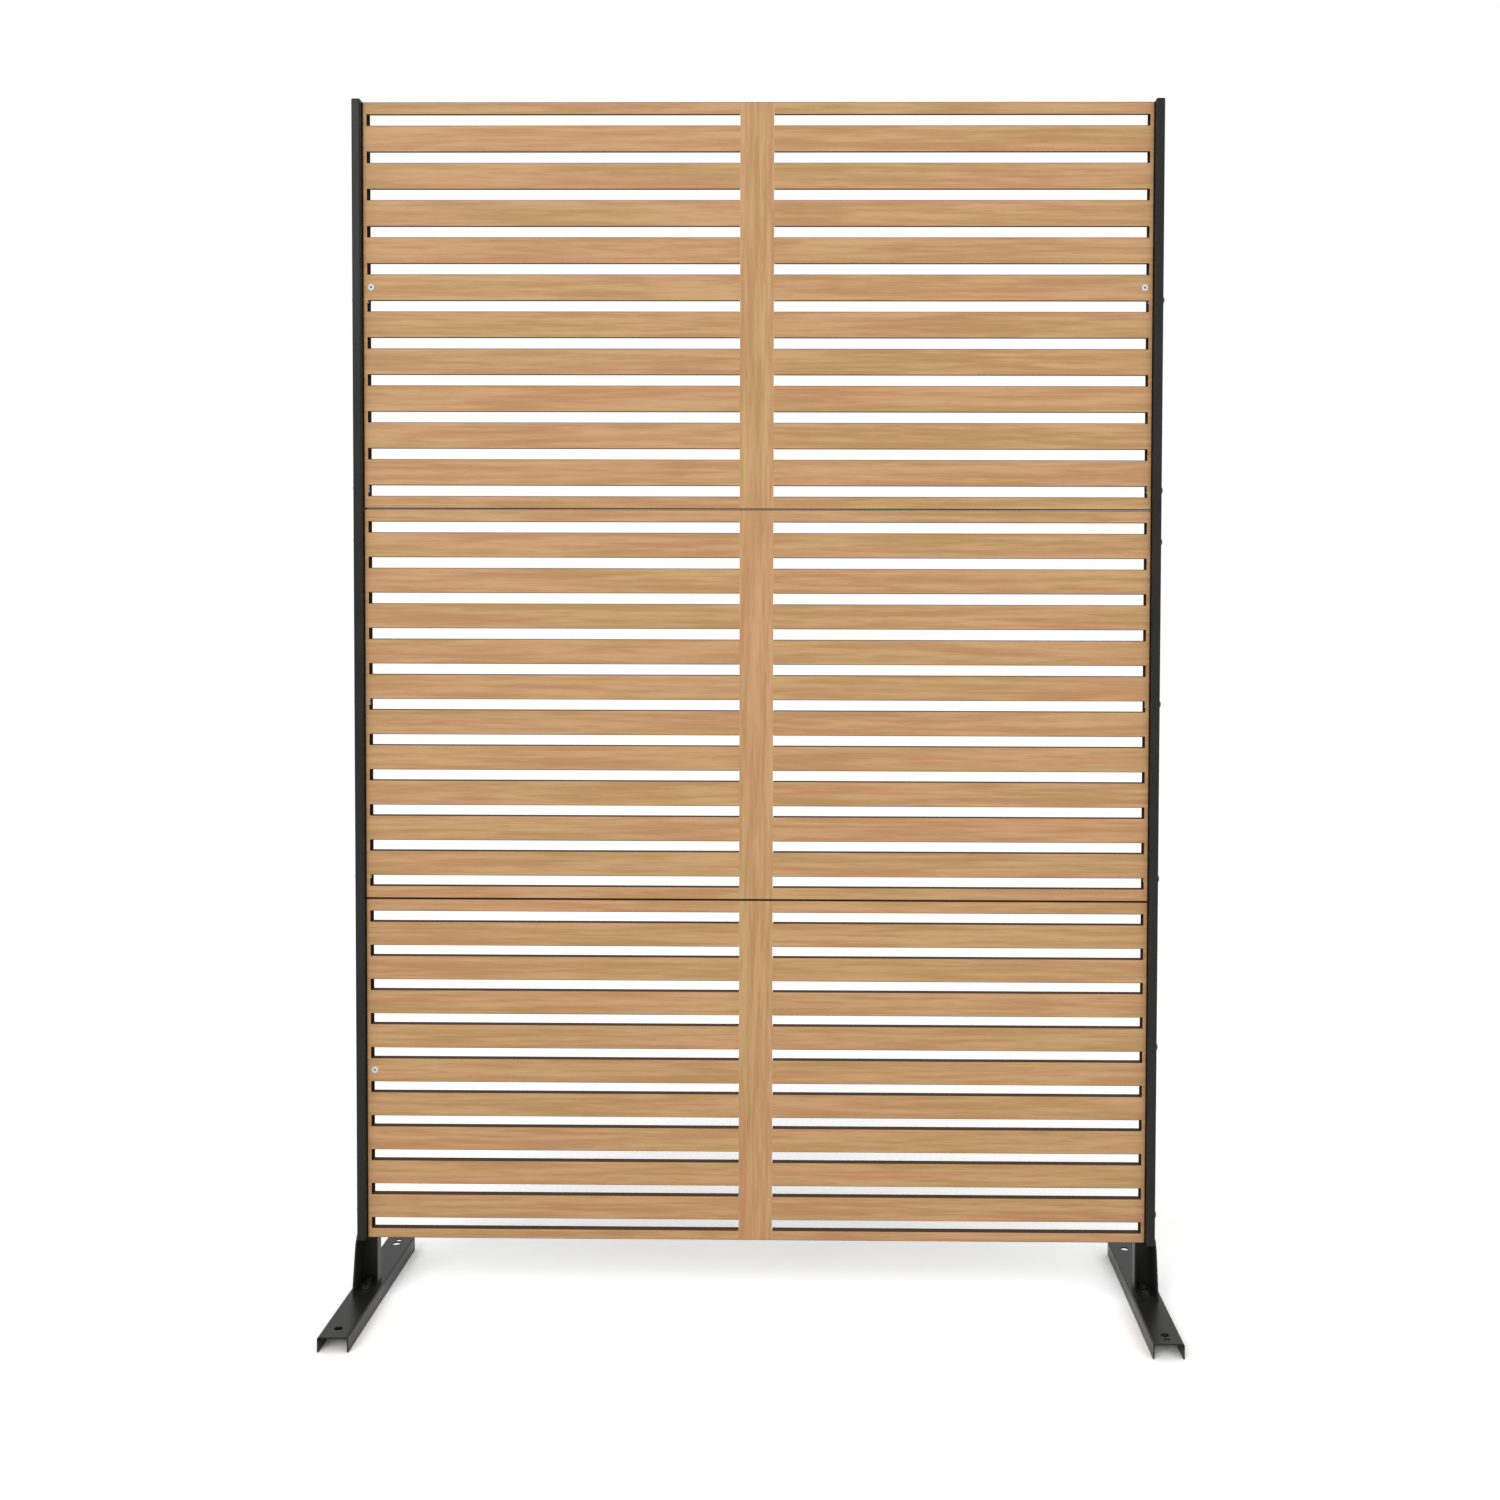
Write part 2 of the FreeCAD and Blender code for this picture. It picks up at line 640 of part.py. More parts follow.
def make_rivet_pin(name):
    """The drive pin, pushed in until its end stands halfway up the collar."""
    body = new_body(name)
    section = new_sketch(body, "XZ_Plane")
    end = "rivet_collar_height / 2"
    outline(section, [
        ("0", "0 - rivet_length"), ("rivet_pin / 2", "0 - rivet_length"),
        ("rivet_pin / 2", end), ("0", end)])
    revolve(body, section)
    return body


def add_side_screws():
    """Screws from outside through post and flange, and a nut on each inside the tray."""
    grip = "(post_width + panel_clearance + panel_sheet)"
    screw = make_pan_screw("side_screw", f"{grip} + side_nut_height + side_screw_end")
    nut = make_nut("side_nut", "side_nut_flats", "side_nut_height", "side_screw_shank")
    inner_wall = f"({PANEL_HALF} - panel_sheet - side_nut_height)"
    for name, panel in PANELS.items():
        for side, sign in SIDES.items():
            heights = [f"{panel.base} + {screw_height}" for screw_height in panel.screws]
            group(screw, f"side_screws_{name}_{side}", (sign, 0, 0),
                  [(f"{sign} * {POST_OUTSIDE}", SCREW_DEPTH, up) for up in heights])
            group(nut, f"side_nuts_{name}_{side}", (sign, 0, 0),
                  [(f"{sign} * {inner_wall}", SCREW_DEPTH, up) for up in heights])


def add_bracket_screws():
    screw = make_pan_screw("tongue_screw", "tongue_screw_length")
    for side, sign in SIDES.items():
        group(screw, f"bracket_screws_{side}", (0, 1, 0),
              [(f"{sign} * {across}", BRACKET_BACK, up)
               for across, up in tongue_screw_places()])


def add_foot_bolts():
    """Bolt, washer and nut through the base tab and the web of the foot."""
    grip = "(washer_thickness + bracket_sheet + foot_sheet)"
    bolt = make_hex_bolt("foot_bolt", f"{grip} + bolt_nut_height + bolt_end")
    washer = make_washer("foot_washer")
    nut = make_nut("foot_nut", "bolt_head_flats", "bolt_nut_height", "bolt_shank")
    seats = [(bolt, "foot_bolts", f"{BASE_TOP} + washer_thickness"),
             (washer, "foot_washers", BASE_TOP),
             (nut, "foot_nuts", "foot_height - foot_sheet - bolt_nut_height")]
    for side in SIDES:
        for master, name, seat in seats:
            group(master, f"{name}_{side}", (0, 0, 1),
                  [(across, along, seat) for across, along in bolt_places(side)])


def rivet_places(name):
    """Where rivets sit in the ends of one of a panel's slats."""
    up = slat_middle(PANELS[name], f"{name}_rivet_slat")
    return [(f"({SIDES[side]} * ({PANEL_HALF} - rivet_inset))", up)
            for side in RIVETS[name]]


def add_rivets():
    collar = make_rivet_collar("rivet_collar_shape")
    pin = make_rivet_pin("rivet_pin_shape")
    for name in RIVETS:
        spots = [(across, PANEL_FRONT, up) for across, up in rivet_places(name)]
        plural = "s" if len(spots) > 1 else ""
        group(collar, f"rivet_collar{plural}_{name}", (0, -1, 0), spots)
        group(pin, f"rivet_pin{plural}_{name}", (0, -1, 0), spots)


# ---- whole screen ---------------------------------------------------------------------

def build():
    fill_sheet()
    for name in PANELS:
        make_panel(name)
    mirrored(make_post(), "post_left")
    mirrored(make_cap(), "post_cap_left")
    mirrored(make_bracket(), "bracket_left")
    for side in SIDES:
        make_foot(side)
    add_side_screws()
    add_bracket_screws()
    add_foot_bolts()
    add_rivets()
    doc.recompute()


def check():
    """Stop if anything failed to compute, or a piece is empty or not valid."""
    for item in doc.Objects:
        if "Invalid" in item.State or "Error" in item.State:
            raise ValueError(f"{item.Name} did not compute: {item.State}")
    for piece in pieces:
        if piece.Shape.isNull() or not piece.Shape.isValid() or not piece.Shape.Solids:
            raise ValueError(f"{piece.Label} has no valid solid")


def export():
    os.makedirs("parts", exist_ok=True)
    for piece in pieces:
        piece.Shape.exportStep(f"parts/{piece.Label}.step")
        print(piece.Label, len(piece.Shape.Solids), round(piece.Shape.Volume))


build()
check()
export()
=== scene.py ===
"""Finishes, detailed fasteners and studio for a garden privacy screen.

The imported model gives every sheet, post, bracket and foot its shape. This script dresses
them with procedural finishes, models the screws, bolts, nuts, washers and rivets in
detail, and sets up the floor, the light and the camera. Lengths are in metres, apart from
the fasteners', which are modelled in millimetres and scaled as they are put in place.
"""

import logging
import math
from abc import ABC, abstractmethod
from collections.abc import Callable, Iterator
from contextlib import contextmanager
from dataclasses import dataclass
from enum import Enum

import bmesh
import bpy
from mathutils import Matrix, Vector


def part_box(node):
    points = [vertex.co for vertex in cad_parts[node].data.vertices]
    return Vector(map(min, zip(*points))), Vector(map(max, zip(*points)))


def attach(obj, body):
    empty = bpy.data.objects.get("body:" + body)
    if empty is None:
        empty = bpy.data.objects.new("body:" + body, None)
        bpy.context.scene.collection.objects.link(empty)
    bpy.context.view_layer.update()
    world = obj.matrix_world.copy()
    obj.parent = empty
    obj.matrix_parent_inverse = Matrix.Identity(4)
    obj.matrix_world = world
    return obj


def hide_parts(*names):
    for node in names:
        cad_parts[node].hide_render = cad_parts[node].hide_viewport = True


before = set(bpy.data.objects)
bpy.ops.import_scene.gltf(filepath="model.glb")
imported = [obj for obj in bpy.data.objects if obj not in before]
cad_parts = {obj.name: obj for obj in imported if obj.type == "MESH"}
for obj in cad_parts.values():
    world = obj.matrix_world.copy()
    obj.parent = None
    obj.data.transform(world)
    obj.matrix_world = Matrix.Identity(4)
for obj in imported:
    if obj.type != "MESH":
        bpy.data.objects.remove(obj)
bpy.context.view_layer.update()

Range = tuple[float, float]
Triple = tuple[float, float, float]
Colour = tuple[float, float, float, float]
Profile = list[tuple[float, float]]
Socket = bpy.types.NodeSocket
Material = bpy.types.Material

LOG = logging.getLogger("privacy_screen")
MM = 0.001
BODY = "root"
SIDES = ("left", "right")
PANEL_NAMES = ("top", "middle", "bottom")
# The plane of the panels' printed faces along the Y axis.
PANEL_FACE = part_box("panel_top")[0].y
WHITE = (1, 1, 1, 1)


class Facing(Enum):
    """The direction in which a fastener's head points."""

    LEFT = (-1, 0, 0)
    RIGHT = (1, 0, 0)
    FRONT = (0, -1, 0)
    BACK = (0, 1, 0)
    UP = (0, 0, 1)

    def matrix(self) -> Matrix:
        """Return the turn that brings the Z axis to this direction."""
        return Vector((0, 0, 1)).rotation_difference(Vector(self.value)).to_matrix().to_4x4()


# ---- node helpers ---------------------------------------------------------------------

# The places of a Mix node's factor, first value, second value and result.
MIX_SOCKETS = {"FLOAT": (0, 2, 3, 0), "RGBA": (0, 6, 7, 2)}
NOISE_MIDDLE = 0.5


@dataclass(frozen=True)
class Layer:
    """Noise that is stretched by its own number of repeats per metre along each axis."""

    repeats: Triple
    shift: Triple = (0, 0, 0)
    octaves: float = 2.0
    roughness: float = 0.5


class Graph:
    """Short way to add and join nodes in one node tree."""

    def __init__(self, tree: bpy.types.NodeTree) -> None:
        """Keep the tree that nodes are added to.

        Args:
            tree: The node tree of a material, world or group.
        """
        self.tree = tree

    def add(self, kind: str, settings: dict | None = None, **inputs: object) -> bpy.types.Node:
        """Add a node, set its options and fill its inputs.

        Args:
            kind: The node's type name without the ShaderNode prefix.
            settings: Attributes of the node itself.
            **inputs: Input sockets by name, with underscores for spaces.

        Returns:
            The new node.
        """
        node = self.tree.nodes.new("ShaderNode" + kind)
        for name, value in (settings or {}).items():
            setattr(node, name, value)
        self.fill(node, **inputs)
        return node

    def fill(self, node: bpy.types.Node, **inputs: object) -> None:
        """Fill inputs of a node.

        Args:
            node: The node.
            **inputs: Input sockets by name, with underscores for spaces.
        """
        for name, value in inputs.items():
            self.feed(node.inputs[name.replace("_", " ")], value)

    def feed(self, socket: Socket, value: object) -> None:
        """Link a socket to an input, or set the input's own value.

        Args:
            socket: The input to fill.
            value: A socket to link, or a plain value.
        """
        if isinstance(value, Socket):
            self.tree.links.new(value, socket)
        else:
            socket.default_value = value

    def math(self, operation: str, *values: object) -> Socket:
        """Add a Math node and return its result.

        Args:
            operation: The operation's name.
            *values: Its inputs in order, as numbers or sockets.

        Returns:
            The node's output.
        """
        node = self.add("Math", {"operation": operation})
        for socket, value in zip(node.inputs, values):
            self.feed(socket, value)
        return node.outputs[0]

    def remap(self, value: object, source: Range, target: Range = (0, 1)) -> Socket:
        """Map a range of values to another with a smooth step.

        Args:
            value: The socket to map.
            source: The values that become the ends of the target.
            target: The results at and beyond the ends of the source.

        Returns:
            The mapped value.
        """
        node = self.add("MapRange", {"interpolation_type": "SMOOTHSTEP"}, Value=value,
                        From_Min=source[0], From_Max=source[1],
                        To_Min=target[0], To_Max=target[1])
        return node.outputs["Result"]

    def mix(self, kind: str, factor: object, one: object, two: object) -> Socket:
        """Mix two numbers or two colours.

        Args:
            kind: FLOAT for numbers or RGBA for colours.
            factor: Share of the second value.
            one: First value.
            two: Second value.

        Returns:
            The mixed value.
        """
        node = self.add("Mix", {"data_type": kind})
        *places, result = MIX_SOCKETS[kind]
        for place, value in zip(places, (factor, one, two)):
            self.feed(node.inputs[place], value)
        return node.outputs[result]

    def swing(self, texture: Socket, middle: float, width: float) -> Socket:
        """Make a value that follows a texture around a middle.

        Args:
            texture: The texture, from 0 to 1.
            middle: The value where the texture is 0.5.
            width: The distance from the lowest to the highest value.

        Returns:
            The value.
        """
        return self.math("ADD", middle - width / 2, self.math("MULTIPLY", texture, width))

    def noise(self, vector: Socket, scale: object, octaves: float = 2.0,
              roughness: float = 0.5) -> Socket:
        """Add a noise texture and return its value.

        Args:
            vector: Coordinates.
            scale: Repeats per unit of the coordinates.
            octaves: Number of finer copies on top of the first.
            roughness: Weight of the finer octaves.

        Returns:
            The noise, about 0.5 on average.
        """
        node = self.add("TexNoise", Vector=vector, Scale=scale, Detail=octaves,
                        Roughness=roughness)
        return node.outputs["Fac"]

    def layer(self, vector: Socket, layer: Layer) -> Socket:
        """Add a layer of stretched noise and return its value.

        Args:
            vector: Coordinates.
            layer: How the noise is stretched and shifted.

        Returns:
            The noise.
        """
        mapping = self.add("Mapping", Vector=vector, Scale=layer.repeats,
                           Location=layer.shift)
        return self.noise(mapping.outputs["Vector"], 1.0, layer.octaves, layer.roughness)

    def bump(self, height: Socket, depth: float) -> Socket:
        """Turn a height into a normal.

        Args:
            height: Height from 0 to 1.
            depth: What a height of 1 measures, in metres.

        Returns:
            The normal.
        """
        node = self.add("Bump", Strength=1.0, Distance=depth, Height=height)
        return node.outputs["Normal"]

    def seen(self) -> Socket:
        """Tell what the camera sees, straight or by reflection, from what only lights.

        Returns:
            1 for a ray that the camera sees, or else 0.
        """
        path = self.add("LightPath")
        indirect = self.math("MAXIMUM", path.outputs["Is Glossy Ray"],
                             path.outputs["Is Transmission Ray"])
        return self.math("MAXIMUM", path.outputs["Is Camera Ray"], indirect)


def new_group(name: str, settings: tuple[str, ...],
              results: tuple[str, ...]) -> tuple[Graph, dict[str, Socket], dict[str, Socket]]:
    """Make an empty shader node group that takes coordinates and numbers.

    Args:
        name: The group's name.
        settings: Names of the numbers that it takes besides the coordinates.
        results: Names of the numbers that it gives.

    Returns:
        The group's graph, its inputs and its outputs by name.
    """
    tree = bpy.data.node_groups.new(name, "ShaderNodeTree")
    tree.interface.new_socket("Vector", in_out="INPUT", socket_type="NodeSocketVector")
    for direction, labels in (("INPUT", settings), ("OUTPUT", results)):
        for label in labels:
            tree.interface.new_socket(label, in_out=direction, socket_type="NodeSocketFloat")
    start = tree.nodes.new("NodeGroupInput")
    end = tree.nodes.new("NodeGroupOutput")
    return (Graph(tree), {socket.name: socket for socket in start.outputs if socket.name},
            {socket.name: socket for socket in end.inputs if socket.name})


@dataclass(frozen=True)
class WoodGrain:
    """Printed wood grain, whose lines run along the X axis of its coordinates."""

    wander: Layer = Layer((3.5, 1, 14), octaves=1.0)
    broad: Layer = Layer((5, 30, 95), octaves=3.0, roughness=0.55)
    fine: Layer = Layer((11, 60, 260), (7, 0, 3), octaves=3.0, roughness=0.6)
    pores: Layer = Layer((22, 90, 620), (2, 5, 0), roughness=0.6)
    figure: Layer = Layer((1.6, 4, 24), (0, 3, 9))
    broad_share: float = 0.5
    tone_range: Range = (0.38, 0.62)
    pore_range: Range = (0.56, 0.70)
    pore_depth: float = 0.6

    def group(self) -> bpy.types.NodeTree:
        """Build the node group.

        Returns:
            The group, with the grain's tone, its fine dark pores, its broad figure and a
            height.
        """
        g, inlet, outlet = new_group("Wood grain", ("Waviness",),
                                     ("Tone", "Pores", "Figure", "Height"))
        wander = g.math("SUBTRACT", g.layer(inlet["Vector"], self.wander), NOISE_MIDDLE)
        parts = g.add("SeparateXYZ", Vector=inlet["Vector"]).outputs
        across = g.math("ADD", parts["Z"], g.math("MULTIPLY", wander, inlet["Waviness"]))
        bent = g.add("CombineXYZ", X=parts["X"], Y=parts["Y"], Z=across).outputs["Vector"]
        broad = g.layer(bent, self.broad)
        fine = g.layer(bent, self.fine)
        pores = g.layer(bent, self.pores)
        tone = g.math("ADD", g.math("MULTIPLY", broad, self.broad_share),
                      g.math("MULTIPLY", fine, 1 - self.broad_share))
        g.feed(outlet["Tone"], g.remap(tone, self.tone_range))
        g.feed(outlet["Pores"], g.remap(pores, self.pore_range))
        g.feed(outlet["Figure"], g.layer(bent, self.figure))
        g.feed(outlet["Height"],
               g.math("SUBTRACT", fine, g.math("MULTIPLY", pores, self.pore_depth)))
        return g.tree


@dataclass(frozen=True)
class OrangePeel:
    """Fine orange-peel texture of a powder coat."""

    cloud_scale: float = 14.0
    cloud_octaves: float = 3.0
    cloud_share: float = 0.7
    speck_scale: float = 3200.0
    speck_octaves: float = 1.0
    unevenness: float = 0.16

    def group(self) -> bpy.types.NodeTree:
        """Build the node group.

        Returns:
            The group, with a mottle for the colour, a roughness and a height.
        """
        g, inlet, outlet = new_group("Powder coat", ("Peel Scale", "Roughness"),
                                     ("Mottle", "Roughness", "Height"))
        cloud = g.noise(inlet["Vector"], self.cloud_scale, self.cloud_octaves)
        speck = g.noise(inlet["Vector"], self.speck_scale, self.speck_octaves)
        g.feed(outlet["Mottle"], g.math("ADD", g.math("MULTIPLY", cloud, self.cloud_share),
                                        g.math("MULTIPLY", speck, 1 - self.cloud_share)))
        g.feed(outlet["Roughness"], g.math("ADD", inlet["Roughness"], g.math(
            "MULTIPLY", g.math("SUBTRACT", cloud, NOISE_MIDDLE), self.unevenness)))
        g.feed(outlet["Height"], g.noise(inlet["Vector"], inlet["Peel Scale"]))
        return g.tree


# ---- finishes -------------------------------------------------------------------------


@dataclass(frozen=True)
class Finish:
    """What every finish has: a name, and a Principled shader to fill."""

    name: str

    def start(self) -> tuple[Material, Graph, bpy.types.Node, Socket]:
        """Make an empty material.

        Returns:
            The material, its graph, its Principled node and the Object coordinates.
        """
        material = bpy.data.materials.new(self.name)
        material.use_nodes = True
        graph = Graph(material.node_tree)
        shader = material.node_tree.nodes["Principled BSDF"]
        return material, graph, shader, graph.add("TexCoord").outputs["Object"]


@dataclass(frozen=True)
class WoodGrainSteel(Finish):
    """Printed wood-grain coating on the front of the folded panels. Past the face plane is a
    dark brown that is partly the plain unprinted back of the sheet and partly painted shade in
    the folds, slot lips and panel joints.
    """

    light: Colour = (0.695, 0.424, 0.214, 1)
    dark: Colour = (0.490, 0.260, 0.112, 1)
    pink: Colour = (0.655, 0.336, 0.172, 1)
    olive: Colour = (0.573, 0.374, 0.142, 1)
    pore: Colour = (0.400, 0.195, 0.080, 1)
    # Dark brown past the face plane: partly the unprinted back of the sheet, partly painted
    # shade that darkens the slot lips, fold bends and joint lines.
    unprinted_and_painted_shade: Colour = (0.070, 0.034, 0.014, 1)
    figure_range: Range = (0.40, 0.60)
    figure_share: float = 0.35
    pore_share: float = 0.34
    waviness: float = 2.0 * MM
    upright_waviness: float = 1.2 * MM
    upright_turn: Triple = (0, math.pi / 2, 0)
    upright_shift: Triple = (0.37, 0, 0.11)
    mullion_half: float = 25.5 * MM
    mullion_edge: float = 0.6 * MM
    # The dark brown begins just past the face plane, so the rounded fold bends at the panel
    # edges and joints also get painted shade.
    face_end: float = 0.12 * MM
    unprinted_and_shade_start: float = 0.3 * MM
    front_roughness: float = 0.47
    tone_roughness: float = 0.06
    reverse_roughness: float = 0.35
    specular: float = 0.25
    grain_depth: float = 0.04 * MM

    def build(self, grain: bpy.types.NodeTree) -> Material:
        """Make the material.

        Args:
            grain: The wood grain group.

        Returns:
            The material.
        """
        material, g, shader, place = self.start()
        level = g.add("Group", {"node_tree": grain}, Vector=place, Waviness=self.waviness)
        upright_place = g.add("Mapping", Vector=place, Rotation=self.upright_turn,
                              Location=self.upright_shift).outputs["Vector"]
        upright = g.add("Group", {"node_tree": grain}, Vector=upright_place,
                        Waviness=self.upright_waviness)
        parts = g.add("SeparateXYZ", Vector=place).outputs
        mullion = g.remap(g.math("ABSOLUTE", parts["X"]),
                          (self.mullion_half, self.mullion_half + self.mullion_edge), (1, 0))
        tone, pores, figure, height = (
            g.mix("FLOAT", mullion, level.outputs[name], upright.outputs[name])
            for name in ("Tone", "Pores", "Figure", "Height"))
        hue = g.mix("RGBA", g.remap(figure, self.figure_range), self.pink, self.olive)
        warm = g.mix("RGBA", self.figure_share,
                     g.mix("RGBA", tone, self.dark, self.light), hue)
        printed = g.mix("RGBA", g.math("MULTIPLY", pores, self.pore_share), warm, self.pore)
        # Mask for the dark brown past the face plane: the unprinted back of the sheet, with
        # painted shade in the lips, bends and joints.
        unprinted_and_shade_mask = g.remap(parts["Y"], (PANEL_FACE + self.face_end,
                                      PANEL_FACE + self.unprinted_and_shade_start))
        rough = g.math("ADD", g.swing(tone, self.front_roughness, self.tone_roughness),
                       g.math("MULTIPLY", unprinted_and_shade_mask, self.reverse_roughness))
        g.fill(shader, Base_Color=g.mix("RGBA", unprinted_and_shade_mask, printed, self.unprinted_and_painted_shade),
               Roughness=rough, Specular_IOR_Level=self.specular,
               Normal=g.bump(height, self.grain_depth))
        return material


@dataclass(frozen=True)
class PowderCoat(Finish):
    """Satin powder coat with a slight orange peel."""

    colour: Colour = (0.0135, 0.0138, 0.0125, 1)
    high: Colour = (0.0180, 0.0183, 0.0165, 1)
    mottle_range: Range = (0.38, 0.62)
    roughness: float = 0.33
    specular: float = 0.18
    peel_scale: float = 900.0
    peel_depth: float = 0.03 * MM

    def build(self, coat: bpy.types.NodeTree) -> Material:
        """Make the material.

        Args:
            coat: The powder coat group.

        Returns:
            The material.
        """
        material, g, shader, place = self.start()
        texture = g.add("Group", {"node_tree": coat}, Vector=place,
                        Peel_Scale=self.peel_scale, Roughness=self.roughness).outputs
        mottle = g.remap(texture["Mottle"], self.mottle_range)
        g.fill(shader, Base_Color=g.mix("RGBA", mottle, self.colour, self.high),
               Roughness=texture["Roughness"], Specular_IOR_Level=self.specular,
               Normal=g.bump(texture["Height"], self.peel_depth))
        return material


@dataclass(frozen=True)
class PlatedSteel(Finish):
    """Plated steel with a faint brushed streak and cloudy tint."""

    colour: Colour = (0.58, 0.59, 0.60, 1)
    tint: Colour = (0.50, 0.48, 0.42, 1)
    cloud_scale: float = 160.0
    cloud_range: Range = (0.4, 0.65)
    streak: Layer = Layer((900, 900, 5000))
    streak_depth: float = 0.006 * MM
    roughness: float = 0.32
    streak_roughness: float = 0.12

    def build(self) -> Material:
        """Make the material.

        Returns:
            The material.
        """
        material, g, shader, place = self.start()
        cloud = g.remap(g.noise(place, self.cloud_scale), self.cloud_range)
        streak = g.layer(place, self.streak)
        g.fill(shader, Base_Color=g.mix("RGBA", cloud, self.colour, self.tint), Metallic=1.0,
               Roughness=g.swing(streak, self.roughness, self.streak_roughness),
               Normal=g.bump(streak, self.streak_depth))
        return material


@dataclass(frozen=True)
class Nylon(Finish):
    """Moulded nylon with a soft grain."""

    colour: Colour = (0.80, 0.80, 0.78, 1)
    shade: Colour = (0.72, 0.71, 0.68, 1)
    cloud_scale: float = 500.0
    cloud_octaves: float = 3.0
    cloud_range: Range = (0.35, 0.65)
    grain_scale: float = 2400.0
    grain_depth: float = 0.01 * MM
    roughness: float = 0.42
    cloud_roughness: float = 0.1

    def build(self) -> Material:
        """Make the material.

        Returns:
            The material.
        """
        material, g, shader, place = self.start()
        cloud = g.noise(place, self.cloud_scale, self.cloud_octaves)
        shading = g.remap(cloud, self.cloud_range)
        g.fill(shader, Base_Color=g.mix("RGBA", shading, self.colour, self.shade),
               Roughness=g.swing(cloud, self.roughness, self.cloud_roughness),
               Normal=g.bump(g.noise(place, self.grain_scale), self.grain_depth))
        return material


def make_finishes() -> dict[str, Material]:
    """Build every finish once.

    Returns:
        The materials, by the record's slot names.
    """
    grain = WoodGrain().group()
    coat = OrangePeel().group()
    return {
        "wood_grain_steel": WoodGrainSteel("Wood-grain coated steel").build(grain),
        "black_powder_coat": PowderCoat("Black powder coat").build(coat),
        "black_plastic": PowderCoat("Black moulded plastic", peel_scale=1800.0,
                                    roughness=0.5).build(coat),
        "black_hardware": PowderCoat("Black plated hardware", roughness=0.2, specular=0.6,
                                     colour=(0.014, 0.014, 0.015, 1),
                                     high=(0.022, 0.022, 0.023, 1),
                                     peel_scale=2600.0, peel_depth=0.008 * MM).build(coat),
        "zinc_hardware": PlatedSteel("Zinc-plated steel").build(),
        "white_nylon": Nylon("White nylon").build(),
        "grey_pin": Nylon("Grey nylon", colour=(0.20, 0.20, 0.19, 1),
                          shade=(0.15, 0.15, 0.145, 1)).build(),
    }


def dress(node: str, material: Material) -> None:
    """Give a CAD node its finish through its object's material slots.

    Args:
        node: The node's name.
        material: The finish.
    """
    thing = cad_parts[node]
    for slot in thing.material_slots:
        slot.link = "OBJECT"
        slot.material = material
    LOG.info("dressed %s with %s", node, material.name)


# ---- modelling helpers, all in millimetres on the Z axis --------------------------------

# Sides of discs and corner rounding, and of shanks and bores.
FINE_SIDES = 48
BORE_SIDES = 36
# Edges that turn by more than SMOOTH_ANGLE stay creased, and beyond SHARP_ANGLE are corners.
SMOOTH_ANGLE = math.radians(38)
SHARP_ANGLE = 1.0
# How much of a level face's normal points up or down, and how near is the same height.
LEVEL = 0.9
SAME_HEIGHT = 1e-3
# Steps that keep two faces from lying in one plane, from the finest to a clear overshoot.
HAIR = 0.001
OVERCUT = 0.01
CORNER_SPARE = 0.02
CLEAR_CUT = 1.0
# The thread's depth, end chamfer and first groove, as shares of its pitch.
THREAD_DEPTH = 0.54
THREAD_CHAMFER = 0.75
THREAD_START = 1.25


def activate(piece: bpy.types.Object) -> None:
    """Select a piece alone and make it the active one.

    Args:
        piece: The piece.
    """
    bpy.ops.object.select_all(action="DESELECT")
    bpy.context.view_layer.objects.active = piece
    piece.select_set(True)


@contextmanager
def editing(piece: bpy.types.Object) -> Iterator[None]:
    """Keep a piece in edit mode during a with block.

    Args:
        piece: The piece.

    Yields:
        Nothing.
    """
    activate(piece)
    bpy.ops.object.mode_set(mode="EDIT")
    yield
    bpy.ops.object.mode_set(mode="OBJECT")


def pick(piece: bpy.types.Object, kind: str, test: Callable[[object], bool]) -> None:
    """Select only the parts of a mesh in edit mode that pass a test.

    Args:
        piece: The object in edit mode.
        kind: EDGE or FACE.
        test: Says whether an edge or face is wanted.
    """
    bpy.ops.mesh.select_mode(type=kind)
    bpy.ops.mesh.select_all(action="DESELECT")
    mesh = bmesh.from_edit_mesh(piece.data)
    for item in {"EDGE": mesh.edges, "FACE": mesh.faces}[kind]:
        if test(item):
            item.select_set(True)
    mesh.select_flush_mode()
    bmesh.update_edit_mesh(piece.data)


def is_level(face: bmesh.types.BMFace) -> bool:
    """Tell whether a face looks straight up or down."""
    return abs(face.normal.z) > LEVEL


def is_rim(edge: bmesh.types.BMEdge) -> bool:
    """Tell whether an edge lies level between two faces that meet at a corner."""
    return (abs(edge.verts[0].co.z - edge.verts[1].co.z) < SAME_HEIGHT
            and edge.calc_face_angle(0) > SHARP_ANGLE)


def turned(name: str, sides: int, profile: Profile) -> bpy.types.Object:
    """Model a turned piece by extruding and scaling its end from ring to ring.

    Args:
        name: The piece's name.
        sides: Number of sides.
        profile: Radius and height of each ring, from the lowest to the highest.

    Returns:
        The piece, closed at both ends.
    """
    (low_radius, low), (radius, height) = profile[:2]
    bpy.ops.mesh.primitive_cone_add(vertices=sides, radius1=low_radius, radius2=radius,
                                    depth=height - low, end_fill_type="NGON",
                                    location=(0, 0, (low + height) / 2))
    piece = bpy.context.object
    piece.name = name
    bpy.ops.object.transform_apply(location=True)
    with editing(piece):
        pick(piece, "FACE", lambda face: (
            face.normal.z > LEVEL
            and abs(face.calc_center_median().z - height) < SAME_HEIGHT))
        for next_radius, next_height in profile[2:]:
            bpy.ops.mesh.extrude_region_move(
                TRANSFORM_OT_translate={"value": (0, 0, next_height - height)})
            scale = next_radius / radius
            bpy.ops.transform.resize(value=(scale, scale, 1),
                                     center_override=(0, 0, next_height))
            radius, height = next_radius, next_height
        bpy.ops.mesh.select_all(action="SELECT")
        bpy.ops.mesh.normals_make_consistent(inside=False)
    return piece


def corner_radius(flats: float) -> float:
    """Return the distance from a hexagon's middle to its corners, from its flats."""
    return flats / 2 / math.cos(math.pi / 6)


